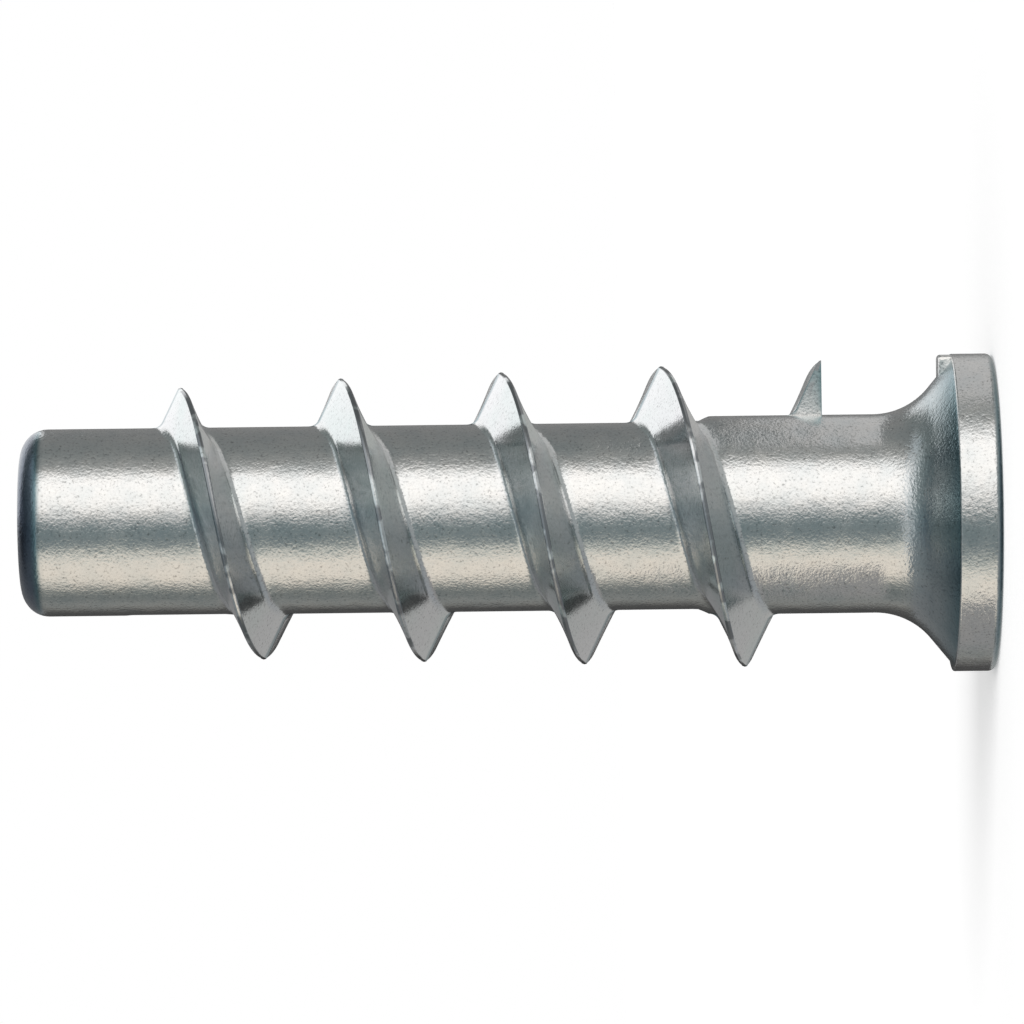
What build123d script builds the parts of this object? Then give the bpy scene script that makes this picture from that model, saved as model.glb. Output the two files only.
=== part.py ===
from build123d import *
from math import atan2, cos, degrees, pi, radians, sin, tan
import os

# An anchor for aerated concrete: one casting with a coarse self-cutting thread outside
# and a screw thread inside. Millimetres. The head face lies on z = 0, centred on the
# origin, and the tip points up. The parting plane of the two mould halves is y = 0.

# Length over everything
overall_length = 60.0

# Plain shank and the rounded edge at its tip
shank_diameter = 11.5
tip_edge_depth = 1.7
tip_edge_length = 1.65
plain_tip_length = 9.9

# Neck: the shank grows to it over a short cone, which starts this far above the head face
neck_diameter = 12.2
neck_cone_top = 18.4
neck_cone_length = 1.0

# Head flange, and the flare that runs from its back into the neck. A round blend takes
# up the given share of the flare's slope.
flange_diameter = 19.6
flange_thickness = 2.6
flange_front_chamfer = 0.45
flange_back_chamfer = 0.12
flare_ledge = 0.42
flare_slope_from_axis = 51.0
flare_blend_share = 0.5

# Coarse outer thread, right-handed, growing in height from tip to head. Its section has
# steep flanks on a broader foot, and its first half turn rises from below the taper.
thread_pitch = 9.9
thread_end_height = 10.5
thread_diameter_tip = 16.7
thread_diameter_head = 18.8
thread_start_drop = 0.2
thread_flank_angle = 25.0
thread_crest_width = 0.3
thread_foot_height = 0.4
thread_foot_width = 0.6

# Stub left by the gate on the back of the flange, at the parting plane
gate_height = 0.75
gate_width = 2.8
gate_inset = 0.05

# Hexagon drive socket in the head
socket_sides = 6
socket_across_flats = 8.2
socket_depth = 10.0
socket_mouth_chamfer = 0.5

# Screw bore behind the socket, right through the tip
bore_diameter = 6.8
bore_lead_in = 0.5
bore_tip_chamfer = 0.5

# How far the thread and the stub reach into the metal that carries them, so they fuse
root_overlap = 0.35
# How far a cutter reaches past the face it leaves through
cutter_overrun = 1.0
# Where the turned surfaces have their seam, clear of the parting plane
seam_angle = 130.0

shank_radius = shank_diameter / 2
neck_radius = neck_diameter / 2
flange_radius = flange_diameter / 2
bore_radius = bore_diameter / 2
thread_rise = overall_length - plain_tip_length - thread_end_height
thread_turns = thread_rise / thread_pitch


def nearest_corner(section, place):
    """The corner of a flat section that lies nearest to a place in its plane."""
    return section.vertices().sort_by_distance(place)[0]


def outer_profile():
    """Half section of the casting without its thread, in the XZ plane."""
    flare_foot_radius = flange_radius - flare_ledge
    flare_depth = flare_foot_radius - neck_radius
    slope = radians(flare_slope_from_axis)
    blend_radius = flare_blend_share * flare_depth / sin(slope) / tan(slope / 2)
    flare_foot = (flare_foot_radius, flange_thickness)
    flare_top = (neck_radius, flange_thickness + flare_depth / tan(slope))
    rim_front = (flange_radius, 0)
    rim_back = (flange_radius, flange_thickness)
    tip_edge = EllipticalCenterArc(
        (shank_radius - tip_edge_depth, overall_length - tip_edge_length),
        tip_edge_depth,
        tip_edge_length,
        start_angle=0,
        arc_size=90,
    )
    lines = Polyline(
        tip_edge @ 1,
        (0, overall_length),
        (0, 0),
        rim_front,
        rim_back,
        flare_foot,
        flare_top,
        (neck_radius, neck_cone_top - neck_cone_length),
        (shank_radius, neck_cone_top),
        tip_edge @ 0,
    )
    section = make_face(tip_edge + lines)
    section = fillet(nearest_corner(section, flare_top), blend_radius)
    section = chamfer(nearest_corner(section, rim_front), flange_front_chamfer)
    section = chamfer(nearest_corner(section, rim_back), flange_back_chamfer)
    return Plane.XZ * section


def solid_casting():
    """The casting turned from its half section, with no thread and no holes yet."""
    return Rot(0, 0, seam_angle) * revolve(outer_profile(), Axis.Z)


def ridge_corners(share):
    """Radius and height of the ridge's six corners at a share of its rise from the head end."""
    taper_radius = (thread_diameter_head * (1 - share) + thread_diameter_tip * share) / 2
    crest_radius = taper_radius - (thread_start_drop if share == 1 else 0)
    foot_radius = shank_radius + thread_foot_height
    root_radius = shank_radius - root_overlap
    half_crest = thread_crest_width / 2
    half_foot = half_crest + (crest_radius - foot_radius) * tan(radians(thread_flank_angle))
    foot_spread = thread_foot_width / thread_foot_height
    half_root = half_foot + (foot_radius - root_radius) * foot_spread
    middle = thread_end_height + share * thread_rise
    head_side = [
        (root_radius, middle - half_root),
        (foot_radius, middle - half_foot),
        (crest_radius, middle - half_crest),
    ]
    tip_side = [(radius, 2 * middle - height) for radius, height in reversed(head_side)]
    return head_side + tip_side


def ridge_edge(start, end, first_turn, last_turn):
    """Helical edge between two corners, each given as a radius and a height."""
    height = end[1] - start[1]
    cone = atan2(end[0] - start[0], height)
    helix = Helix(
        pitch=height / (last_turn - first_turn) / cos(cone),
        height=height,
        radius=start[0],
        center=(0, 0, start[1]),
        cone_angle=degrees(cone),
    )
    return (Rot(0, 0, 360 * first_turn) * helix).edge()


def ridge_piece(first_share, last_share):
    """A stretch of the ridge: ruled helical faces closed by two flat ends."""
    turns = (first_share * thread_turns, last_share * thread_turns)
    corners = zip(ridge_corners(first_share), ridge_corners(last_share))
    edges = [ridge_edge(start, end, *turns) for start, end in corners]
    neighbours = edges[1:] + edges[:1]
    sides = [Face.make_surface_from_curves(*pair) for pair in zip(edges, neighbours)]
    caps = [Face(Wire.make_polygon([edge @ end for edge in edges])) for end in (0, 1)]
    return Solid(Shell(sides + caps))


def coarse_thread():
    """Stretches of about half a turn, cut square where the thread stops."""
    past_end = Pos(0, 0, thread_end_height) * Cylinder(
        flange_radius,
        thread_pitch,
        align=(Align.CENTER, Align.CENTER, Align.MAX),
    )
    count = round(2 * thread_turns)
    pieces = [ridge_piece(i / count, (i + 1) / count) for i in range(count)]
    return [piece - past_end for piece in pieces]


def gate_stub():
    """A small block on the flange's back, flush with the rim, at the parting plane."""
    outer_radius = flange_radius - gate_inset
    block = Pos(outer_radius, 0, flange_thickness - root_overlap) * Box(
        outer_radius - neck_radius,
        gate_width,
        gate_height + root_overlap,
        align=(Align.MAX, Align.CENTER, Align.MIN),
    )
    rim = Cylinder(outer_radius, overall_length, align=(Align.CENTER, Align.CENTER, Align.MIN))
    return block & rim


def drive_socket():
    """Cutter for the hexagon socket. A countersink of 45 degrees breaks even its corners."""
    wall_radius = socket_across_flats / 2
    mouth_radius = wall_radius / cos(pi / socket_sides) + socket_mouth_chamfer
    hexagon = RegularPolygon(wall_radius, socket_sides, major_radius=False)
    prism = extrude(hexagon, socket_depth)
    mouth = Cone(
        mouth_radius,
        wall_radius,
        mouth_radius - wall_radius,
        align=(Align.CENTER, Align.CENTER, Align.MIN),
    )
    return prism + mouth


def screw_bore():
    """Cutter for the screw bore, its lead-in at the socket floor and its tip chamfer."""
    bore = Cylinder(
        bore_radius,
        overall_length + cutter_overrun,
        align=(Align.CENTER, Align.CENTER, Align.MIN),
    )
    lead_in = Pos(0, 0, socket_depth) * Cone(
        bore_radius + bore_lead_in,
        bore_radius,
        bore_lead_in,
        align=(Align.CENTER, Align.CENTER, Align.MIN),
    )
    tip_chamfer = Pos(0, 0, overall_length) * Cone(
        bore_radius,
        bore_radius + bore_tip_chamfer,
        bore_tip_chamfer,
        align=(Align.CENTER, Align.CENTER, Align.MAX),
    )
    return bore + lead_in + tip_chamfer


def anchor_body():
    """The finished casting."""
    casting = solid_casting().fuse(*coarse_thread(), gate_stub())
    return casting - drive_socket() - screw_bore()


os.makedirs("parts", exist_ok=True)
export_step(anchor_body(), "parts/anchor_body.step")
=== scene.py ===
import bmesh
import bpy
import numpy as np
from math import cos, exp, pi, radians, sin, tan
from mathutils import Matrix, Vector


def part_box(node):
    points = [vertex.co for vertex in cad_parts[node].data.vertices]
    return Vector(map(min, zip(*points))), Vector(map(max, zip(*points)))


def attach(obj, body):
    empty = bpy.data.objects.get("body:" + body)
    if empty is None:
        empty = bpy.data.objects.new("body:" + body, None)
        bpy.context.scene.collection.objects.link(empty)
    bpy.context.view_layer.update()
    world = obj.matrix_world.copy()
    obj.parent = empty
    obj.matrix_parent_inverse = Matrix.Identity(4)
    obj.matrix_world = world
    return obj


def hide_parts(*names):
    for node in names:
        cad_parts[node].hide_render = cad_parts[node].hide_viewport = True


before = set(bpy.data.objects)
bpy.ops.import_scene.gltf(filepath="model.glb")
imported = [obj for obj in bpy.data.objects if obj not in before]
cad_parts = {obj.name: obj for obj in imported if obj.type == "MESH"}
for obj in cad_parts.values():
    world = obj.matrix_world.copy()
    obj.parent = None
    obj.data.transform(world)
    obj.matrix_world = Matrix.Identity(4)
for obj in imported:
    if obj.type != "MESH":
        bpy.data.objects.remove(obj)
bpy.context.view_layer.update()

# The anchor stands on its head at the origin and its tip points up. Sizes here are in
# millimetres and are turned into metres where a mesh, lamp or camera is made.
MM = 0.001
TIP_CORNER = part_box("anchor_body")[1]
LENGTH = TIP_CORNER.z / MM
FLANGE_RADIUS = TIP_CORNER.x / MM

# Shank, neck and rounded tip
SHANK_RADIUS = 5.75
NECK_RADIUS = 6.1
NECK_CONE = (17.4, 18.4)
TIP_ROUND = 1.68

# Head flange with its flare and the gate's stub
RIM_LENGTH = 2.6
RIM_FRONT_ROUND = 0.45
RIM_BACK_ROUND = 0.1
FLARE_FOOT_RADIUS = 9.38
FLARE_SLOPE = radians(51)
FLARE_BLEND = 4.42
FLARE_CORNER_ROUND = 0.12
STUB_TOP = 3.35
STUB_WIDTH = 2.8
STUB_RADII = (8.0, 9.75)
STUB_ROUND = 0.14
STUB_DRAFT = 0.08
STUB_SINK = 0.25
STUB_FOOT_ROUND = 0.05

# Coarse outer thread: a ridge with steep flanks, a rounded root and a narrow crest that
# falls to both sides. Beside the parting plane, where a flank would catch in its mould
# half, it stands steeper and its root is rounder. Behind, that relief has these shares.
PITCH = 9.9
TURNS = 4
THREAD_END = 10.5
CREST_RADIUS_HEAD = 9.4
CREST_RADIUS_TIP = 8.35
START_DROP = 0.2
START_TURNS = 0.5
RIDGE_HALF_WIDTH = 2.2
CREST_WIDTH = 0.34
CREST_ROUND = 0.08
CREST_FALL_HEAD = radians(13)
CREST_FALL_TIP = radians(20)
CREST_PEAK = 0.16
CREST_PEAK_REACH = radians(9)
FLANK_LEAN = radians(26)
FLANK_LEAN_RELIEVED = radians(15)
ROOT_FILLET = 0.7
ROOT_FILLET_RELIEVED = 1.3
RELIEF_REACH = radians(42)
RELIEF_SKEW = 0.7
RELIEF_BEHIND_TIP = 0.6
RELIEF_BEHIND_HEAD = 0.1
PARTING_LINE = 0.03
PARTING_LINE_START = 0.5
FIN_DRAFT = tan(radians(3))

# Hexagon socket, screw bore and the M8 thread inside it
SOCKET_SIDES = 6
SOCKET_APOTHEM = 4.1
SOCKET_DEPTH = 10.0
SOCKET_CORNER = 0.08
SOCKET_MOUTH_RADIUS = 5.23
SOCKET_MOUTH_CORNER = 0.06
SOCKET_WALL_ROW = 4.0
FACE_INNER_ROW = 0.4
BORE_RADIUS = 3.4
BORE_CHAMFER = 0.5
BORE_EDGE_ROUND = 0.08
SCREW_PITCH = 1.25
SCREW_RADIUS = 4.0
SCREW_ROOT = 0.3
SCREW_FLANK = radians(30)

# Points nearer than this are merged, edges shorter than this vanish, in metres, and
# shading breaks at sharper edges than this angle. Between two rings a vertex is next only
# if it leads by more than this share of the ring.
MERGE_DISTANCE = 1e-6
SHORTEST_EDGE = 1e-7
SHARP_EDGE = radians(32)
LEAST_LEAD = 1e-9

# How finely the surfaces are divided
COLUMNS = 240
BORE_COLUMNS = 80
FILLET_STEPS = 7
EDGE_STEPS = 4
FLANK_SHARES = (0.02, 0.12, 0.3, 0.5, 0.7, 0.88, 0.98)
PLAIN_STEPS = 16
CUT_STEPS = 5
CAP_STEPS = 30
HEAD_ARC_STEPS = [8, 4, 4, 14]
TIP_ARC_STEPS = [12, 3]
STUB_ARC_STEPS = [2, 4]
# Columns across half of the stub: share of its half width, and share of its edge's rounding
STUB_COLUMNS = [(0, 0), (0.25, 0), (0.5, 0), (0.75, 0), (0.9, 0), (0.97, 0.35), (1, 1)]
# A row beside each arc keeps its shading clean. It stands off by this share of the arc's
# reach, which is counted up to the limit.
CLOSE_ROW_SHARE = 0.25
CLOSE_ROW_LIMIT = 0.4

# The photo's camera: the picture's width in pixels and its pixels per millimetre, how far
# the camera stands off, the x and z it aims at, its roll, and what it sees from near to far
IMAGE_SIZE = 1024
IMAGE_SCALE = 16.19
CAMERA_DISTANCE = 432.4
CAMERA_AIM = (0.352, 29.71)
CAMERA_TILT = radians(0.67)
CAMERA_CLIP = (10, 20000)

# Studio: the floor, the sun that gives the shadow, and the tent of soft boxes and cards.
# A card's bearing is 0 on the camera's side and grows towards the parting line at +X. The
# cards differ level with the anchor, above it towards its tip and below it towards its head.
FLOOR_REACH = 1500
SUN_PLACE = (120, -160, 420)
SUN_ANGLE = radians(25)
SUN_STRENGTH = 1.05
TENT_RADIUS = 420
TENT_DIVISIONS = 5
TENT_STRENGTH = 1.4
TENT_LEVEL = [
    (-180, (0.07, 0.07, 0.07)),
    (-146, (0.08, 0.08, 0.08)),
    (-134, (0.22, 0.22, 0.21)),
    (-124, (0.3, 0.31, 0.3)),
    (-108, (0.18, 0.2, 0.2)),
    (-94, (0.24, 0.26, 0.25)),
    (-86, (0.5, 0.49, 0.45)),
    (-78, (0.93, 0.86, 0.76)),
    (-52, (0.97, 0.9, 0.8)),
    (-43, (0.8, 0.79, 0.72)),
    (-34, (0.42, 0.45, 0.43)),
    (-26, (0.24, 0.28, 0.29)),
    (-12, (0.2, 0.25, 0.26)),
    (-4, (0.28, 0.33, 0.34)),
    (2, (0.48, 0.5, 0.5)),
    (12, (0.95, 0.94, 0.92)),
    (24, (1.34, 1.32, 1.29)),
    (56, (1.4, 1.38, 1.36)),
    (63, (0.75, 0.75, 0.74)),
    (72, (0.38, 0.39, 0.38)),
    (94, (0.24, 0.26, 0.26)),
    (125, (0.24, 0.25, 0.25)),
    (180, (0.26, 0.26, 0.26)),
]
TENT_TIPWARD = [
    (-180, (0.26, 0.26, 0.26)),
    (-127, (0.24, 0.25, 0.26)),
    (-84, (0.25, 0.28, 0.29)),
    (-50, (0.24, 0.28, 0.3)),
    (-14, (0.24, 0.3, 0.32)),
    (4, (0.29, 0.36, 0.37)),
    (23, (0.32, 0.37, 0.37)),
    (69, (0.31, 0.36, 0.36)),
    (100, (0.27, 0.31, 0.31)),
    (137, (0.22, 0.24, 0.24)),
    (147, (1.24, 1.24, 1.25)),
    (180, (1.24, 1.24, 1.25)),
]
TENT_HEADWARD = [
    (-180, (0.42, 0.42, 0.42)),
    (-158, (0.46, 0.46, 0.45)),
    (-106, (0.35, 0.37, 0.39)),
    (-51, (0.36, 0.38, 0.39)),
    (-8, (0.37, 0.4, 0.41)),
    (11, (0.4, 0.43, 0.44)),
    (47, (0.5, 0.52, 0.52)),
    (99, (0.5, 0.52, 0.52)),
    (150, (0.54, 0.53, 0.52)),
    (180, (0.46, 0.46, 0.45)),
]
# How far the level cards reach up by bearing, and how far they reach down, in degrees
REACH_UP = [
    (-150, 11),
    (-127, 20),
    (-103, 27),
    (-67, 36),
    (-33, 43),
    (-14, 45),
    (20, 49),
    (100, 49),
    (128, 11),
]
REACH_DOWN = [(-128, 11), (-112, 24), (112, 24), (128, 11)]
# The level cards end softly between these shares of their reach
REACH_EDGE = (0.95, 1.05)
# A paler blue strip at the top of the level cards
STRIP_START = (radians(32), radians(39))
STRIP_COLOUR = (0.74, 0.8, 0.84)
STRIP_SHARE = 0.7
# How bright the rest is by degrees above or below level, in front and behind. The front
# fades in between these two bearings.
TENT_FRONT = (radians(128), radians(112))
RINGS_FRONT = [
    (52, (1.0, 1.0, 1.0)),
    (60, (0.8, 0.82, 0.84)),
    (66, (0.7, 0.72, 0.75)),
    (73, (0.48, 0.52, 0.57)),
    (82, (0.42, 0.43, 0.45)),
]
RINGS_BEHIND = [(54, (1.0, 1.0, 1.0)), (60, (0.22, 0.24, 0.27))]

# Two cards close to the head, at +X and at -X: bearings, heights and brightness
HEAD_CARD_RADIUS = 90
HEAD_CARD_STEPS = 12
HEAD_CARDS = [(84, 150, -16, 11, 0.6), (-112, -63, -16, 11, 0.33)]

# Painted shade: how far the metal's colour is darkened, in place of shade and dark reflections,
# on the flare, in the corner at its foot, on the rim's front edge and along the parting line, and
# the darkest tint. On the tip's rounded edge, between these heights, a second tint comes on top
# of the first as a painted dark reflection.
FLARE_PAINTED_SHADE = 0.55
FLARE_PAINTED_SHADE_TOP = RIM_LENGTH + 3
FLARE_PAINTED_SHADE_RADII = (6.3, 7.5)
CORNER_PAINTED_SHADE = 1.0
CORNER_PAINTED_SHADE_REACH = 0.14
CORNER_PAINTED_SHADE_TOP = RIM_LENGTH + 0.2
EDGE_PAINTED_SHADE = 0.9
EDGE_PAINTED_SHADE_REACH = 0.25
PAINTED_SHADE_FROM_RIM_BACK = 0.05
PARTING_PAINTED_SHADE = (0.95, 0.8, 0.4)
PAINTED_SHADE_TINT = (0.22, 0.34, 0.38, 1)
# Painted dark reflection on the tip's rounded edge: where it starts and is full, and its tint
TIP_PAINTED_SHADE_START = (58.5, 59.15)
TIP_PAINTED_DARK_TINT = (1.0, 0.76, 0.85, 1)

# What each vertex says of its metal: whether it lies on the thread's ridge or its crest, and
# how much painted shade darkens it. The ridge's own look fades in over these heights above the
# shank.
MARKS = ("ridge", "crest", "shade")
RIDGE_MARK = (-0.15, 0.45)

# Noise of the zinc, each with its size in millimetres, detail and roughness
GRAIN = (0.17, 2.0, 0.6)
BLOTCH = (1.5, 3.0, 0.55)
DRIFT = (6.0, 2.0, 0.5)
CREST_PAINTED_DARK = (1.8, 2.0, 0.5)
# Tints and pits of the zinc, a painted dark reflection in patches along its crest, then its gloss
# and the depth of its surface
METAL_TINTS = [(0.3, (0.66, 0.68, 0.68)), (0.55, (0.73, 0.73, 0.72)), (0.75, (0.77, 0.76, 0.74))]
FLANK_TINTS = [(0.35, (0.64, 0.7, 0.69)), (0.5, (0.7, 0.72, 0.72)), (0.65, (0.72, 0.72, 0.73))]
PITS = [(0.28, (0.35,)), (0.4, (0.9,)), (0.6, (1.0,))]
PITS_SHARE = 0.7
CREST_PAINTED_DARK_FADE = (0.42, 0.5)
CREST_PAINTED_DARK_TINT = (0.3, 0.31, 0.32, 1)
GLOSS_ROUGHNESS = 0.06
BLOTCH_ROUGHNESS = 0.14
TIP_ROUGHNESS = 0.12
GRAIN_HEIGHT = 0.08
DRIFT_HEIGHT = 0.3
BLOTCH_HEIGHT = 0.45
FLANK_CALM = 0.8
BUMP_DEPTH = 0.1

# The floor's tone and what it adds for the camera, and the world's light on what isn't shiny
FLOOR_TONES = [(0.3, (0.84,)), (0.7, (0.86,))]
FLOOR_TONE_SIZE = 40.0
FLOOR_GLOW = 0.3
WORLD_STRENGTH = 0.55

# The tent and the cards show in reflections alone
HIDDEN_FROM = ["camera", "diffuse", "shadow", "transmission", "volume_scatter"]

# The thread's rows start on the neck and end on the plain tip, at these heights
THREAD_ZONE = (8.7, 53.6)


def rounded_path(corners, radii, steps):
    """Points of a path with an arc at each inner corner, and a close row beside each arc."""
    points = [Vector(corners[0])]
    for i in range(1, len(corners) - 1):
        here = Vector(corners[i])
        back = (Vector(corners[i - 1]) - here).normalized()
        on = (Vector(corners[i + 1]) - here).normalized()
        half = back.angle(on) / 2
        reach = radii[i - 1] / tan(half)
        centre = here + (back + on).normalized() * radii[i - 1] / sin(half)
        start = here + back * reach
        sweep = pi - 2 * half
        side = (start - centre).normalized()
        turn = 1 if side.x * back.y - side.y * back.x < 0 else -1
        close = CLOSE_ROW_SHARE * min(reach, CLOSE_ROW_LIMIT)
        points.append(start + back * close)
        for step in range(steps[i - 1] + 1):
            angle = turn * sweep * step / steps[i - 1]
            across = side.x * cos(angle) - side.y * sin(angle)
            along = side.x * sin(angle) + side.y * cos(angle)
            arm = Vector((across, along))
            points.append(centre + arm * radii[i - 1])
        points.append(here + on * (reach + close))
    points.append(Vector(corners[-1]))
    return np.array([tuple(point) for point in points])


def socket_radius(angle):
    """Distance from the axis to the hexagon's wall at an angle. One corner lies at angle 0."""
    side = 2 * pi / SOCKET_SIDES
    from_flat = angle % side - side / 2
    return SOCKET_APOTHEM / cos(from_flat)


def head_rows():
    """Radius and height from the head face's inner edge to the start of the thread's rows."""
    flare_top = RIM_LENGTH + (FLARE_FOOT_RADIUS - NECK_RADIUS) / tan(FLARE_SLOPE)
    corners = [
        (SOCKET_MOUTH_RADIUS + FACE_INNER_ROW, 0),
        (FLANGE_RADIUS, 0),
        (FLANGE_RADIUS, RIM_LENGTH),
        (FLARE_FOOT_RADIUS, RIM_LENGTH),
        (NECK_RADIUS, flare_top),
        (NECK_RADIUS, THREAD_ZONE[0]),
    ]
    radii = [RIM_FRONT_ROUND, RIM_BACK_ROUND, FLARE_CORNER_ROUND, FLARE_BLEND]
    return rounded_path(corners, radii, HEAD_ARC_STEPS)


def tip_rows():
    """Radius and height from the end of the thread's rows over the tip into the bore."""
    corners = [
        (SHANK_RADIUS, THREAD_ZONE[1]),
        (SHANK_RADIUS, LENGTH),
        (BORE_RADIUS + BORE_CHAMFER, LENGTH),
        (BORE_RADIUS, LENGTH - BORE_CHAMFER),
    ]
    return rounded_path(corners, [TIP_ROUND, BORE_EDGE_ROUND], TIP_ARC_STEPS)


def core_radius(height):
    """Radius of the casting under the thread: neck, cone and shank."""
    share = np.clip((height - NECK_CONE[0]) / (NECK_CONE[1] - NECK_CONE[0]), 0, 1)
    smooth = share * share * (3 - 2 * share)
    return NECK_RADIUS + (SHANK_RADIUS - NECK_RADIUS) * smooth


def crest_radius(turn):
    """Radius of the ridge's crest, so many turns up from its head end. It peaks a little at
    the parting plane, where the two mould halves met."""
    taper = CREST_RADIUS_HEAD + (CREST_RADIUS_TIP - CREST_RADIUS_HEAD) * turn / TURNS
    drop = START_DROP * max(0, (turn - TURNS + START_TURNS) / START_TURNS)
    from_parting = (turn - round(2 * turn) / 2) * 2 * pi
    peak = CREST_PEAK * exp(-abs(from_parting) / CREST_PEAK_REACH)
    return taper - drop + peak - CREST_PEAK / 2


def relief(angle, tipward):
    """How far a flank is relieved at an angle round the axis, from 0 to 1."""
    parting = pi * round(angle / pi)
    away = angle - parting
    if (away > 0) != tipward:
        return 0
    behind = RELIEF_BEHIND_TIP if tipward else RELIEF_BEHIND_HEAD
    swell = sin(pi * min(1, abs(away) / RELIEF_REACH) ** RELIEF_SKEW)
    return swell * (behind if sin(angle) > 0 else 1)


def ridge_half(crest, core, angle, tipward):
    """Distances from the ridge's middle and radii, from its foot up to the middle of its crest."""
    share = relief(angle, tipward)
    lean = FLANK_LEAN + (FLANK_LEAN_RELIEVED - FLANK_LEAN) * share
    fillet = ROOT_FILLET + (ROOT_FILLET_RELIEVED - ROOT_FILLET) * share
    fall = CREST_FALL_TIP if tipward else CREST_FALL_HEAD
    edge_middle = CREST_WIDTH / 2 - CREST_ROUND * cos(lean)
    edge_height = crest - CREST_ROUND * cos(fall)
    edge_height -= (edge_middle + CREST_ROUND * sin(fall)) * tan(fall)
    edge = []
    for step in range(EDGE_STEPS + 1):
        turn = pi / 2 - lean + (fall - pi / 2 + lean) * step / EDGE_STEPS
        edge.append((edge_middle + CREST_ROUND * sin(turn), edge_height + CREST_ROUND * cos(turn)))
    drop = edge[0][1] - core - fillet * (1 - sin(lean))
    fillet_middle = edge[0][0] + drop * tan(lean) + fillet * cos(lean)
    rows = []
    for step in range(FILLET_STEPS + 1):
        turn = (pi / 2 - lean) * step / FILLET_STEPS
        rows.append((fillet_middle - fillet * sin(turn), core + fillet * (1 - cos(turn))))
    foot_end = rows[-1]
    for share in FLANK_SHARES:
        rows.append(tuple(a + (b - a) * share for a, b in zip(foot_end, edge[0])))
    rows += edge
    rows.append((0, crest))
    return np.array(rows)


def cut_square(half, reach, core):
    """The head side of the ridge's end: rows up the square cut, then on along the section."""
    flank_rows = len(half) - EDGE_STEPS - 1
    section = half[:flank_rows]
    if reach >= section[0][0]:
        return half
    cut = half.copy()
    if reach < section[-1][0]:
        cut[:, 0] = np.minimum(cut[:, 0], reach)
        cut[:flank_rows, 1] = np.linspace(core, section[-1][1], flank_rows)
        return cut
    meet = np.interp(reach, section[::-1, 0], section[::-1, 1])
    cut[:CUT_STEPS, 1] = np.linspace(core, meet, CUT_STEPS, endpoint=False)
    cut[:CUT_STEPS, 0] = reach
    cut[CUT_STEPS:flank_rows, 1] = np.linspace(meet, section[-1][1], flank_rows - CUT_STEPS)
    heights = cut[CUT_STEPS:flank_rows, 1]
    cut[CUT_STEPS:flank_rows, 0] = np.interp(heights, section[:, 1], section[:, 0])
    return cut


def ridge_rows(turn):
    """Radius and height over the whole ridge from its head-side foot to its tip-side foot."""
    middle = THREAD_END + PITCH * turn
    crest = crest_radius(turn)
    head_side = ridge_half(crest, core_radius(middle - RIDGE_HALF_WIDTH), 2 * pi * turn, False)
    tip_side = ridge_half(crest, core_radius(middle + RIDGE_HALF_WIDTH), 2 * pi * turn, True)
    if turn < 1:
        head_side = cut_square(head_side, middle - THREAD_END, core_radius(middle))
    up = np.column_stack([head_side[:, 1], middle - head_side[:, 0]])
    down = np.column_stack([tip_side[-2::-1, 1], middle + tip_side[-2::-1, 0]])
    return np.vstack([up, down])


def plain_rows(low, high, steps=PLAIN_STEPS):
    """Radius and height on the bare shank between two heights, without the two ends."""
    heights = np.linspace(low, high, steps + 2)[1:-1]
    return np.column_stack([core_radius(heights), heights])


def thread_column(share):
    """Ridges and plain stretches by turns, up one column at a share of a whole turn."""
    ridges = [ridge_rows(lap + share) for lap in range(TURNS)]
    lows = [THREAD_ZONE[0]] + [ridge[-1][1] for ridge in ridges]
    highs = [ridge[0][1] for ridge in ridges] + [THREAD_ZONE[1]]
    plains = [plain_rows(low, high) for low, high in zip(lows, highs)]
    return ridges, plains


def painted_metal_shade(radius, height):
    """How far painted shade darkens the metal at a place: up to 1, and up to 2 on the tip's edge,
    where it stands for a dark reflection.
    """
    if height > TIP_PAINTED_SHADE_START[0]:
        low, high = TIP_PAINTED_SHADE_START
        in_bore = radius <= BORE_RADIUS + BORE_CHAMFER
        return 0.0 if in_bore else 2 * min(1, (height - low) / (high - low))
    if height < RIM_FRONT_ROUND:
        on_edge = radius > FLANGE_RADIUS - RIM_FRONT_ROUND
        return EDGE_PAINTED_SHADE * on_edge * min(1, (RIM_FRONT_ROUND - height) / EDGE_PAINTED_SHADE_REACH)
    on_rim = height < RIM_LENGTH - PAINTED_SHADE_FROM_RIM_BACK
    on_rim = on_rim or radius > FLARE_FOOT_RADIUS + CORNER_PAINTED_SHADE_REACH
    if on_rim or height > FLARE_PAINTED_SHADE_TOP:
        return 0.0
    if radius > FLARE_FOOT_RADIUS - CORNER_PAINTED_SHADE_REACH and height < CORNER_PAINTED_SHADE_TOP:
        return CORNER_PAINTED_SHADE
    low, high = FLARE_PAINTED_SHADE_RADII
    return FLARE_PAINTED_SHADE * min(1, max(0, (radius - low) / (high - low)))


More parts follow.
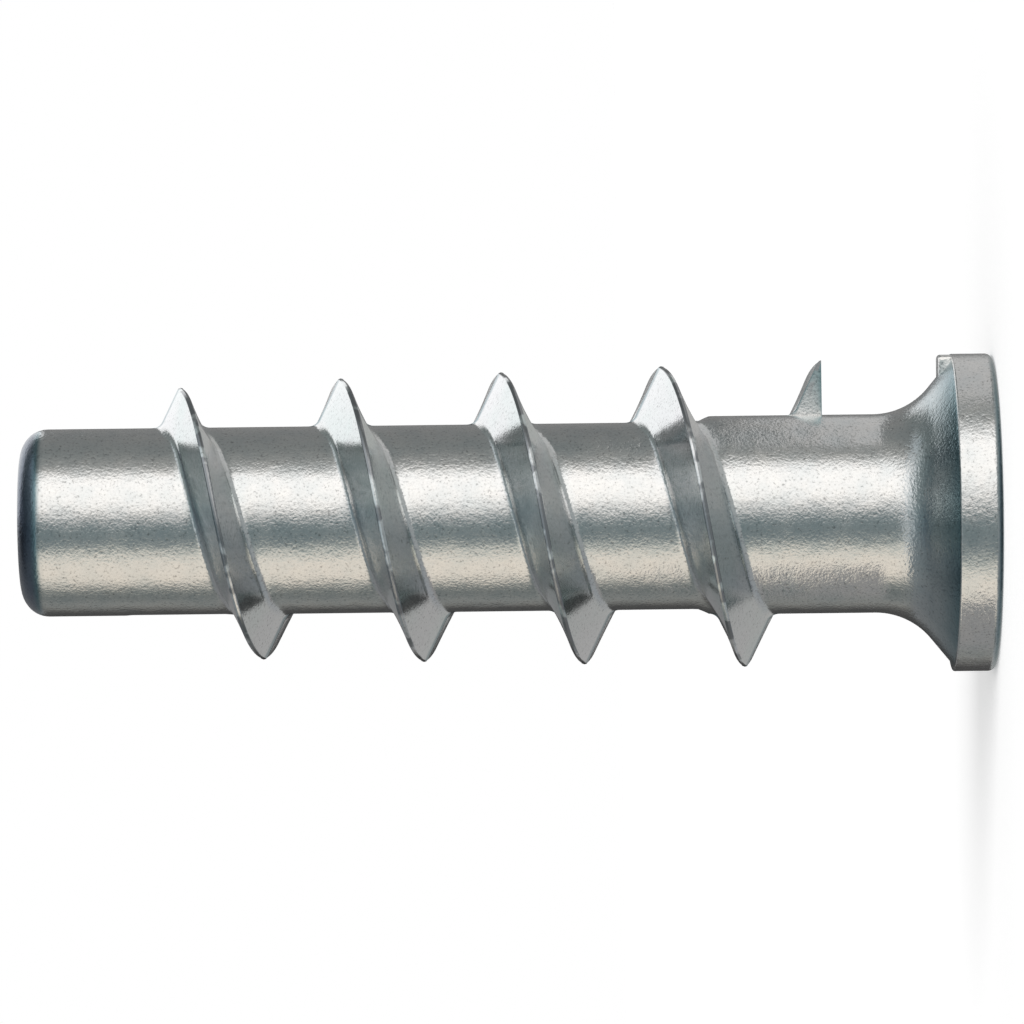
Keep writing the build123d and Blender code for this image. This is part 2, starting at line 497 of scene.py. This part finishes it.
class Skin:
    """Vertices and faces of the casting, gathered line by line. Lines run along the axis."""

    def __init__(self):
        self.points = []
        self.faces = []
        self.ridge = []
        self.crest = []
        self.shade = []

    def line(self, rows, angle, on_ridge=False, shade=0.0):
        """Adds one line of vertices at an angle round the axis and returns their numbers."""
        first = len(self.points)
        for (radius, height), turn in zip(rows, np.broadcast_to(angle, len(rows))):
            self.points.append((radius * cos(turn), radius * sin(turn), height))
            over = (radius - core_radius(height) - RIDGE_MARK[0]) / (RIDGE_MARK[1] - RIDGE_MARK[0])
            self.ridge.append(float(np.clip(over, 0, 1)) if on_ridge else 0.0)
            self.crest.append(0.0)
            # Painted shade of the vertex: the line's own or its place's, whichever is darker
            self.shade.append(max(shade, painted_metal_shade(radius, height)))
        if on_ridge:
            middle = len(rows) // 2
            for row in range(middle - EDGE_STEPS, middle + EDGE_STEPS + 1):
                self.crest[first + row] = 1.0
        return list(range(first, len(self.points)))

    def strip(self, a, b):
        """Quads between two lines with as many vertices each."""
        for i in range(len(a) - 1):
            self.faces.append((a[i], b[i], b[i + 1], a[i + 1]))

    def zip_lines(self, a, b):
        """Triangles between two lines up the casting with different numbers of vertices."""
        i = j = 0
        while i < len(a) - 1 or j < len(b) - 1:
            on_b = i == len(a) - 1
            if not on_b and j < len(b) - 1:
                on_b = self.points[b[j + 1]][2] < self.points[a[i + 1]][2]
            self.faces.append((a[i], b[j], b[j + 1]) if on_b else (a[i], b[j], a[i + 1]))
            i, j = (i, j + 1) if on_b else (i + 1, j)

    def zip_rings(self, a, b):
        """Triangles between two rings round the axis with different numbers of vertices."""
        a, b = a + a[:1], b + b[:1]
        i = j = 0
        while i < len(a) - 1 or j < len(b) - 1:
            lead = (i + 1) / (len(a) - 1) - LEAST_LEAD
            on_b = i == len(a) - 1 or (j + 1) / (len(b) - 1) < lead
            self.faces.append((a[i], b[j], b[j + 1]) if on_b else (a[i], b[j], a[i + 1]))
            i, j = (i, j + 1) if on_b else (i + 1, j)


def painted_parting_shade(column):
    """How much painted shade darkens a column of the thread, near the parting line."""
    away = abs((column + COLUMNS // 4) % (COLUMNS // 2) - COLUMNS // 4)
    return PARTING_PAINTED_SHADE[away] if away < len(PARTING_PAINTED_SHADE) else 0.0


def parted(rows, column):
    """The same rows, raised a little where the two mould halves met."""
    if column % (COLUMNS // 2):
        return rows
    raised = rows.copy()
    past_rim = rows[:, 1] > RIM_LENGTH + PARTING_LINE_START
    raised[past_rim & (rows[:, 0] > SHANK_RADIUS - TIP_ROUND), 0] += PARTING_LINE
    return raised


def outside(skin):
    """The outer surface in columns, with the thread's two ends at the parting plane."""
    head, tip = head_rows(), tip_rows()
    lines = []
    for column in range(COLUMNS):
        angle = 2 * pi * column / COLUMNS
        ridges, plains = thread_column(column / COLUMNS)
        past_thread = plains.pop() if column else None
        line = {"head": skin.line(parted(head, column), angle)}
        line["plains"] = [skin.line(parted(plain, column), angle) for plain in plains]
        # Painted shade along the parting line
        shade = painted_parting_shade(column)
        upper = [parted(ridge, column) for ridge in ridges[1:]]
        line["ridges"] = [skin.line(ridge, angle, True, shade) for ridge in upper]
        fin = parted(ridges[0], column)
        draft = 0 if column else np.arcsin(FIN_DRAFT * (fin[:, 0] - fin[0, 0]) / fin[:, 0])
        line["ridges"].insert(0, skin.line(fin, angle + draft, True, shade))
        line["last"] = [] if past_thread is None else skin.line(past_thread, angle)
        line["tip"] = skin.line(parted(tip, column), angle)
        lines.append(line)
    return lines


def run_of(line, first, last):
    """One column's vertices from one ridge to another, with the plain stretches between them."""
    run = list(line["ridges"][first])
    for lap in range(first + 1, last + 1):
        run += line["plains"][lap] + line["ridges"][lap]
    return run


def up_to_last_ridge(line):
    """One column's vertices from the head face to the tip side of its last ridge."""
    return line["head"] + line["plains"][0] + run_of(line, 0, TURNS - 1)


def last_plain(line):
    """One column's vertices from its last ridge to the start of the tip."""
    return [line["ridges"][-1][-1]] + line["last"] + [line["tip"][0]]


def under_ridge(skin, ridge):
    """A line along the bare shank below a ridge's square end, which closes that end."""
    low, high = skin.points[ridge[0]][2], skin.points[ridge[-1]][2]
    return skin.line(parted(plain_rows(low, high, CAP_STEPS), 0), 0)


def close_seam(skin, lines):
    """Joins the last column to the first, where each ridge has climbed by one turn."""
    first, last = lines[0], lines[-1]
    ridges, plains = thread_column(1)
    before, after = [skin.line(parted(plain, 0), 0) for plain in plains[-2:]]
    end = skin.line(parted(ridges[-1], 0), 0, True)
    start = first["ridges"][0]
    under_start, under_end = [under_ridge(skin, ridge) for ridge in (start, end)]
    skin.strip(last["head"], first["head"])
    foot = [first["head"][-1]] + first["plains"][0] + [start[0]] + under_start
    foot += [start[-1]] + first["plains"][1] + [first["ridges"][1][0]]
    skin.zip_lines([last["head"][-1]] + last["plains"][0] + [last["ridges"][0][0]], foot)
    skin.strip(run_of(last, 0, TURNS - 2), run_of(first, 1, TURNS - 1))
    top = [last["ridges"][-2][-1]] + last["plains"][-1] + last["ridges"][-1]
    bottom = [first["ridges"][-1][-1]] + before
    skin.strip(top + last["last"] + last["tip"], bottom + end + after + first["tip"])
    skin.faces += [tuple(start + under_start[::-1]), tuple(under_end + end[::-1])]
    neck = bottom + [end[0]] + under_end + [end[-1]] + after + [first["tip"][0]]
    skin.zip_lines(neck, last_plain(lines[1]))


def screw_rows(turn_share):
    """Radius and height of the M8 thread's rows up the bore, at a share of a whole turn."""
    low, high = SOCKET_DEPTH + BORE_CHAMFER, LENGTH - BORE_CHAMFER
    flank = (SCREW_RADIUS - BORE_RADIUS) * tan(SCREW_FLANK)
    crest = SCREW_PITCH - 2 * flank - SCREW_ROOT
    laps = int((high - low) / SCREW_PITCH) + 3
    rows = []
    for lap in range(-1, laps):
        start = low + SCREW_PITCH * (lap + turn_share)
        root = start + crest + flank
        rows += [(BORE_RADIUS, start), (BORE_RADIUS, start + crest)]
        rows += [(SCREW_RADIUS, root), (SCREW_RADIUS, root + SCREW_ROOT)]
    rows = np.array(rows)
    fade = np.clip((rows[:, 1] - low) / SCREW_PITCH, 0, 1)
    fade *= np.clip((high - rows[:, 1]) / SCREW_PITCH, 0, 1)
    rows[:, 0] = BORE_RADIUS + (rows[:, 0] - BORE_RADIUS) * fade
    rows[:, 1] = np.clip(rows[:, 1], low, high)
    return rows


def screw_bore(skin):
    """The threaded bore. Returns the rings at its socket end and at its tip end."""
    columns = []
    for column in range(BORE_COLUMNS):
        share = column / BORE_COLUMNS
        columns.append(skin.line(screw_rows(share), 2 * pi * share))
    for a, b in zip(columns, columns[1:]):
        skin.strip(a, b)
    skin.strip(columns[-1][:-4], columns[0][4:])
    return [column[0] for column in columns], [column[-1] for column in columns]


def socket_rows(angle):
    """Radius and height from the socket's floor over its wall and mouth to the head face."""
    wall = socket_radius(angle)
    mouth = SOCKET_MOUTH_RADIUS - wall
    lead_in = BORE_RADIUS + BORE_CHAMFER
    return np.array([
        (BORE_RADIUS, SOCKET_DEPTH + BORE_CHAMFER),
        (lead_in, SOCKET_DEPTH),
        (wall - SOCKET_CORNER, SOCKET_DEPTH),
        (wall, SOCKET_DEPTH - SOCKET_CORNER),
        (wall, mouth + SOCKET_WALL_ROW),
        (wall, mouth + SOCKET_CORNER),
        (wall + SOCKET_MOUTH_CORNER, mouth - SOCKET_MOUTH_CORNER),
        (SOCKET_MOUTH_RADIUS - SOCKET_MOUTH_CORNER, SOCKET_MOUTH_CORNER),
        (SOCKET_MOUTH_RADIUS + SOCKET_CORNER, 0),
    ])


def casting_skin():
    """All of the casting's surface as one closed skin."""
    skin = Skin()
    lines = outside(skin)
    for a, b in zip(lines, lines[1:]):
        skin.strip(up_to_last_ridge(a), up_to_last_ridge(b))
        if a is not lines[0]:
            skin.strip(last_plain(a), last_plain(b))
        skin.strip(a["tip"], b["tip"])
    close_seam(skin, lines)
    sockets = []
    for column, line in enumerate(lines):
        angle = 2 * pi * column / COLUMNS
        sockets.append(skin.line(socket_rows(angle), angle) + [line["head"][0]])
    for a, b in zip(sockets, sockets[1:] + sockets[:1]):
        skin.strip(a, b)
    socket_ring, tip_ring = screw_bore(skin)
    skin.zip_rings([line[0] for line in sockets], socket_ring)
    skin.zip_rings([line["tip"][-1] for line in lines], tip_ring)
    return skin


def stub_skin():
    """The gate's stub: a small rounded block on the back of the flange, curved with the rim."""
    skin = Skin()
    low = RIM_LENGTH - STUB_SINK
    inner, outer = STUB_RADII
    left_half = [(-share, shrink) for share, shrink in STUB_COLUMNS[:0:-1]]
    lines = []
    for share, shrink in left_half + STUB_COLUMNS:
        inset = STUB_ROUND * shrink
        edge, top = outer - inset, STUB_TOP - inset
        corners = [(inner, low), (edge, low), (edge, top), (inner, top)]
        rows = rounded_path(corners, [STUB_FOOT_ROUND, STUB_ROUND], STUB_ARC_STEPS)
        half = STUB_WIDTH / 2 - STUB_DRAFT * (rows[:, 0] - inner)
        lines.append(skin.line(rows, np.arcsin(share * half / rows[:, 0])))
    for a, b in zip(lines, lines[1:]):
        skin.strip(a + a[:1], b + b[:1])
    skin.faces += [tuple(lines[0]), tuple(reversed(lines[-1]))]
    return skin


def make_piece(name, skins, material):
    """One mesh object from skins in millimetres, shaded smooth except across sharp edges."""
    mesh = bpy.data.meshes.new(name)
    points, faces = [], []
    marks = {mark: [] for mark in MARKS}
    for skin in skins:
        faces += [tuple(len(points) + i for i in face) for face in skin.faces]
        points += skin.points
        for mark in MARKS:
            marks[mark] += getattr(skin, mark)
    mesh.from_pydata([Vector(point) * MM for point in points], [], faces)
    for mark, values in marks.items():
        mesh.attributes.new(mark, "FLOAT", "POINT").data.foreach_set("value", values)
    work = bmesh.new()
    work.from_mesh(mesh)
    bmesh.ops.remove_doubles(work, verts=work.verts, dist=MERGE_DISTANCE)
    bmesh.ops.dissolve_degenerate(work, edges=work.edges, dist=SHORTEST_EDGE)
    loose = [vert for vert in work.verts if not vert.link_faces]
    bmesh.ops.delete(work, geom=loose, context="VERTS")
    bmesh.ops.recalc_face_normals(work, faces=work.faces)
    work.to_mesh(mesh)
    work.free()
    mesh.shade_smooth()
    mesh.set_sharp_from_angle(angle=SHARP_EDGE)
    mesh.materials.append(material)
    piece = bpy.data.objects.new(name, mesh)
    bpy.context.scene.collection.objects.link(piece)
    return piece


# Places of the colour sockets on a Mix node
MIX_FACTOR, MIX_COLOUR_A, MIX_COLOUR_B, MIX_COLOUR = 0, 6, 7, 2


class Nodes:
    """Short calls for building a node tree. An input i0 is the node's first, i1 its second."""

    def __init__(self, tree):
        self.tree = tree
        tree.nodes.clear()

    def add(self, kind, settings=None, **inputs):
        """Adds a node, sets its settings and fills or links its inputs by name."""
        node = self.tree.nodes.new("ShaderNode" + kind)
        for key, value in (settings or {}).items():
            setattr(node, key, value)
        for key, value in inputs.items():
            by_number = key[0] == "i" and key[1:].isdigit()
            place = int(key[1:]) if by_number else key.replace("_", " ")
            self.fill(node.inputs[place], value)
        return node

    def fill(self, socket, value):
        """Links an input to another node's output, or sets it to a value."""
        if isinstance(value, bpy.types.NodeSocket):
            self.tree.links.new(value, socket)
        else:
            socket.default_value = value

    def math(self, operation, a, b=0.0):
        return self.add("Math", {"operation": operation}, i0=a, i1=b).outputs[0]

    def noise(self, vector, size, detail=2.0, roughness=0.5):
        """Noise whose features are about so many millimetres across."""
        scale = 1 / (size * MM)
        inputs = {"Vector": vector, "Scale": scale, "Detail": detail, "Roughness": roughness}
        return self.add("TexNoise", None, **inputs).outputs["Fac"]

    def ramp(self, factor, stops):
        """A colour ramp from (place, colour) pairs."""
        node = self.add("ValToRGB", None, Fac=factor)
        elements = node.color_ramp.elements
        while len(elements) < len(stops):
            elements.new(0.5)
        for element, (place, colour) in zip(elements, stops):
            element.position = place
            element.color = (*colour, 1) if len(colour) == 3 else (colour[0],) * 3 + (1,)
        return node.outputs["Color"]

    def blend(self, factor, a, b):
        """A number between a and b, which may be sockets."""
        return self.math("ADD", a, self.math("MULTIPLY", factor, self.math("SUBTRACT", b, a)))

    def fade(self, value, low, high):
        """A smooth step from 0 at the low value to 1 at the high one, which may lie below it."""
        node = self.add("MapRange", {"interpolation_type": "SMOOTHSTEP"}, Value=value)
        node.inputs["From Min"].default_value = min(low, high)
        node.inputs["From Max"].default_value = max(low, high)
        node.inputs["To Min"].default_value = float(low > high)
        node.inputs["To Max"].default_value = float(low < high)
        return node.outputs[0]

    def mix(self, factor, a, b, blend="MIX"):
        node = self.add("Mix", {"data_type": "RGBA", "blend_type": blend, "clamp_factor": True})
        for place, value in ((MIX_FACTOR, factor), (MIX_COLOUR_A, a), (MIX_COLOUR_B, b)):
            self.fill(node.inputs[place], value)
        return node.outputs[MIX_COLOUR]


def new_material(name):
    material = bpy.data.materials.new(name)
    material.use_nodes = True
    return material, Nodes(material.node_tree)


def zinc():
    """Bare zinc die casting: bright, finely speckled, smoother and bluer on the thread's flanks."""
    material, nodes = new_material("zinc_casting")
    place = nodes.add("TexCoord").outputs["Object"]
    marks = [nodes.add("Attribute", {"attribute_name": mark}) for mark in MARKS]
    ridge, crest, shade = [mark.outputs["Fac"] for mark in marks]
    grain = nodes.noise(place, *GRAIN)
    blotch = nodes.noise(place, *BLOTCH)
    drift = nodes.noise(place, *DRIFT)
    colour = nodes.mix(ridge, nodes.ramp(blotch, METAL_TINTS), nodes.ramp(drift, FLANK_TINTS))
    colour = nodes.mix(PITS_SHARE, colour, nodes.ramp(grain, PITS), "MULTIPLY")
    # Painted shade: the shade mark darkens the colour towards a dark tint in place of shade and
    # dark reflections, and above 1 adds a second tint, the tip edge's painted dark reflection
    colour = nodes.mix(shade, colour, nodes.mix(1.0, colour, PAINTED_SHADE_TINT, "MULTIPLY"))
    edge = nodes.math("MAXIMUM", nodes.math("SUBTRACT", shade, 1.0), 0.0)
    colour = nodes.mix(edge, colour, nodes.mix(1.0, colour, TIP_PAINTED_DARK_TINT, "MULTIPLY"))
    # Painted dark reflection in patches along the crest
    crest_painted_dark = nodes.fade(nodes.noise(place, *CREST_PAINTED_DARK), *CREST_PAINTED_DARK_FADE)
    colour = nodes.mix(nodes.math("MULTIPLY", crest, crest_painted_dark), colour, CREST_PAINTED_DARK_TINT)
    rough = nodes.math("ADD", nodes.math("MULTIPLY", blotch, BLOTCH_ROUGHNESS), GLOSS_ROUGHNESS)
    rough = nodes.math("ADD", rough, nodes.math("MULTIPLY", edge, TIP_ROUGHNESS))
    rise = nodes.math("ADD", nodes.math("MULTIPLY", drift, DRIFT_HEIGHT), GRAIN_HEIGHT)
    height = nodes.math("MULTIPLY", grain, rise)
    height = nodes.math("ADD", height, nodes.math("MULTIPLY", blotch, BLOTCH_HEIGHT))
    bumpy = nodes.math("SUBTRACT", 1.0, nodes.math("MULTIPLY", ridge, FLANK_CALM))
    bump = nodes.add("Bump", None, Strength=bumpy, Distance=BUMP_DEPTH * MM, Height=height)
    surface = {"Base_Color": colour, "Metallic": 1.0, "Roughness": rough, "Normal": bump.outputs[0]}
    shader = nodes.add("BsdfPrincipled", None, **surface)
    nodes.add("OutputMaterial", None, Surface=shader.outputs[0])
    return material


def floor_material():
    """Pale floor that shows white to the camera where no shadow falls."""
    material, nodes = new_material("pale_floor")
    place = nodes.add("TexCoord").outputs["Object"]
    tone = nodes.ramp(nodes.noise(place, FLOOR_TONE_SIZE), FLOOR_TONES)
    matt = nodes.add("BsdfDiffuse", None, Color=tone)
    seen = nodes.add("LightPath").outputs["Is Camera Ray"]
    strength = nodes.math("MULTIPLY", seen, FLOOR_GLOW)
    glow = nodes.add("Emission", None, Color=(1, 1, 1, 1), Strength=strength)
    both = nodes.add("AddShader", None, i0=matt.outputs[0], i1=glow.outputs[0])
    nodes.add("OutputMaterial", None, Surface=both.outputs[0])
    return material


def make_stage_mesh(name, mesh, material, hidden_from):
    """A stage object, such as the floor, which isn't part of the anchor."""
    mesh.materials.append(material)
    thing = bpy.data.objects.new(name, mesh)
    bpy.context.scene.collection.objects.link(thing)
    for ray in hidden_from:
        setattr(thing, "visible_" + ray, False)
    return thing


def make_floor():
    reach = FLOOR_REACH * MM
    mesh = bpy.data.meshes.new("floor")
    corners = [(-reach, -reach, 0), (reach, -reach, 0), (reach, reach, 0), (-reach, reach, 0)]
    mesh.from_pydata(corners, [], [(0, 1, 2, 3)])
    return make_stage_mesh("floor", mesh, floor_material(), ["glossy"])


def of_turn(bearing):
    """Share of a whole turn at a bearing in degrees, counted from straight behind."""
    return (bearing + 180) / 360


def of_strength(colour):
    """A card's colour as a share of the tent's strength."""
    return [part / TENT_STRENGTH for part in colour]


def tent_material():
    """Soft boxes and grey cards round the anchor, by their bearing from the camera's side."""
    material, nodes = new_material("light_tent")
    place = nodes.add("TexCoord").outputs["Object"]
    split = nodes.add("SeparateXYZ", None, Vector=place)
    x, y, z = split.outputs
    bearing = nodes.math("ARCTAN2", x, nodes.math("MULTIPLY", y, -1.0))
    share = nodes.math("ADD", nodes.math("DIVIDE", bearing, 2 * pi), 0.5)
    level, tipward, headward = [
        nodes.ramp(share, [(of_turn(angle), of_strength(colour)) for angle, colour in cards])
        for cards in (TENT_LEVEL, TENT_TIPWARD, TENT_HEADWARD)
    ]
    height = nodes.math("ARCSINE", nodes.math("DIVIDE", z, TENT_RADIUS * MM))
    above = nodes.math("GREATER_THAN", height, 0.0)
    steep = nodes.math("ABSOLUTE", height)
    strip = nodes.math("MULTIPLY", nodes.fade(height, *STRIP_START), STRIP_SHARE)
    level = nodes.mix(strip, level, (*of_strength(STRIP_COLOUR), 1))
    front = nodes.fade(nodes.math("ABSOLUTE", bearing), *TENT_FRONT)
    steep_share = nodes.math("DIVIDE", steep, pi / 2)
    rings = [
        nodes.ramp(steep_share, [(angle / 90, gain) for angle, gain in stops])
        for stops in (RINGS_BEHIND, RINGS_FRONT)
    ]
    ends = nodes.mix(1.0, nodes.mix(above, headward, tipward), nodes.mix(front, *rings), "MULTIPLY")
    up, down = [
        nodes.ramp(share, [(of_turn(angle), (reach / 90,)) for angle, reach in stops])
        for stops in (REACH_UP, REACH_DOWN)
    ]
    reach = nodes.math("MULTIPLY", nodes.blend(above, down, up), pi / 2)
    past_reach = nodes.fade(nodes.math("DIVIDE", steep, reach), *REACH_EDGE)
    colour = nodes.mix(past_reach, level, ends)
    glow = nodes.add("Emission", None, Color=colour, Strength=TENT_STRENGTH)
    nodes.add("OutputMaterial", None, Surface=glow.outputs[0])
    return material


def make_tent():
    mesh = bpy.data.meshes.new("light_tent")
    ball = bmesh.new()
    bmesh.ops.create_icosphere(ball, subdivisions=TENT_DIVISIONS, radius=TENT_RADIUS * MM)
    ball.to_mesh(mesh)
    ball.free()
    tent = make_stage_mesh("light_tent", mesh, tent_material(), HIDDEN_FROM)
    tent.location.z = LENGTH / 2 * MM
    return tent


def make_head_cards():
    """Two small grey cards beside the head, seen in its gloss alone."""
    points, faces, shades = [], [], []
    for first, last, low, high, shade in HEAD_CARDS:
        start = len(points)
        for bearing in np.radians(np.linspace(first, last, HEAD_CARD_STEPS + 1)):
            x, y = HEAD_CARD_RADIUS * sin(bearing), -HEAD_CARD_RADIUS * cos(bearing)
            points += [(x, y, low), (x, y, high)]
            shades += [shade, shade]
        corners = range(start, start + 2 * HEAD_CARD_STEPS, 2)
        faces += [(i, i + 1, i + 3, i + 2) for i in corners]
    mesh = bpy.data.meshes.new("head_cards")
    mesh.from_pydata([Vector(point) * MM for point in points], [], faces)
    mesh.attributes.new("shade", "FLOAT", "POINT").data.foreach_set("value", shades)
    material, nodes = new_material("head_card")
    shade = nodes.add("Attribute", {"attribute_name": "shade"}).outputs["Fac"]
    glow = nodes.add("Emission", None, Color=(1, 1, 1, 1), Strength=shade)
    nodes.add("OutputMaterial", None, Surface=glow.outputs[0])
    make_stage_mesh("head_cards", mesh, material, HIDDEN_FROM)


def make_world():
    """White behind the anchor and in its reflections, and a softer light on the floor."""
    world = bpy.data.worlds.new("studio")
    bpy.context.scene.world = world
    world.use_nodes = True
    nodes = Nodes(world.node_tree)
    path = nodes.add("LightPath").outputs
    seen = nodes.math("MAXIMUM", path["Is Camera Ray"], path["Is Glossy Ray"])
    seen = nodes.math("MAXIMUM", seen, path["Is Transmission Ray"])
    soft = nodes.add("Background", None, Color=(1, 1, 1, 1), Strength=WORLD_STRENGTH)
    white = nodes.add("Background", None, Color=(1, 1, 1, 1), Strength=1.0)
    both = nodes.add("MixShader", None, Fac=seen, i1=soft.outputs[0], i2=white.outputs[0])
    nodes.add("OutputWorld", None, Surface=both.outputs[0])


def make_sun():
    """A wide soft sun from above, which lights the floor evenly and gives the anchor's shadow."""
    light = bpy.data.lights.new("soft_sun", "SUN")
    light.angle = SUN_ANGLE
    light.energy = SUN_STRENGTH
    sun = bpy.data.objects.new("soft_sun", light)
    bpy.context.scene.collection.objects.link(sun)
    sun.location = Vector(SUN_PLACE) * MM
    sun.rotation_euler = (-sun.location).to_track_quat("-Z", "Y").to_euler()
    sun.visible_glossy = False


def make_camera():
    """The photo's view: level with the anchor's middle, and rolled so that its tip is left."""
    data = bpy.data.cameras.new("photo_camera")
    data.lens = data.sensor_width * CAMERA_DISTANCE / (IMAGE_SIZE / IMAGE_SCALE)
    data.clip_start, data.clip_end = [distance * MM for distance in CAMERA_CLIP]
    camera = bpy.data.objects.new("photo_camera", data)
    bpy.context.scene.collection.objects.link(camera)
    right = Vector((-sin(CAMERA_TILT), 0, -cos(CAMERA_TILT)))
    up = Vector((cos(CAMERA_TILT), 0, -sin(CAMERA_TILT)))
    camera.matrix_world = Matrix((
        (right.x, up.x, 0, CAMERA_AIM[0] * MM),
        (right.y, up.y, -1, -CAMERA_DISTANCE * MM),
        (right.z, up.z, 0, CAMERA_AIM[1] * MM),
        (0, 0, 0, 1),
    ))
    bpy.context.scene.camera = camera


anchor = make_piece("anchor_casting", [casting_skin(), stub_skin()], zinc())
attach(anchor, "root")
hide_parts("anchor_body")
make_floor()
make_tent()
make_head_cards()
make_world()
make_sun()
make_camera()
bpy.context.scene.view_settings.view_transform = "Standard"
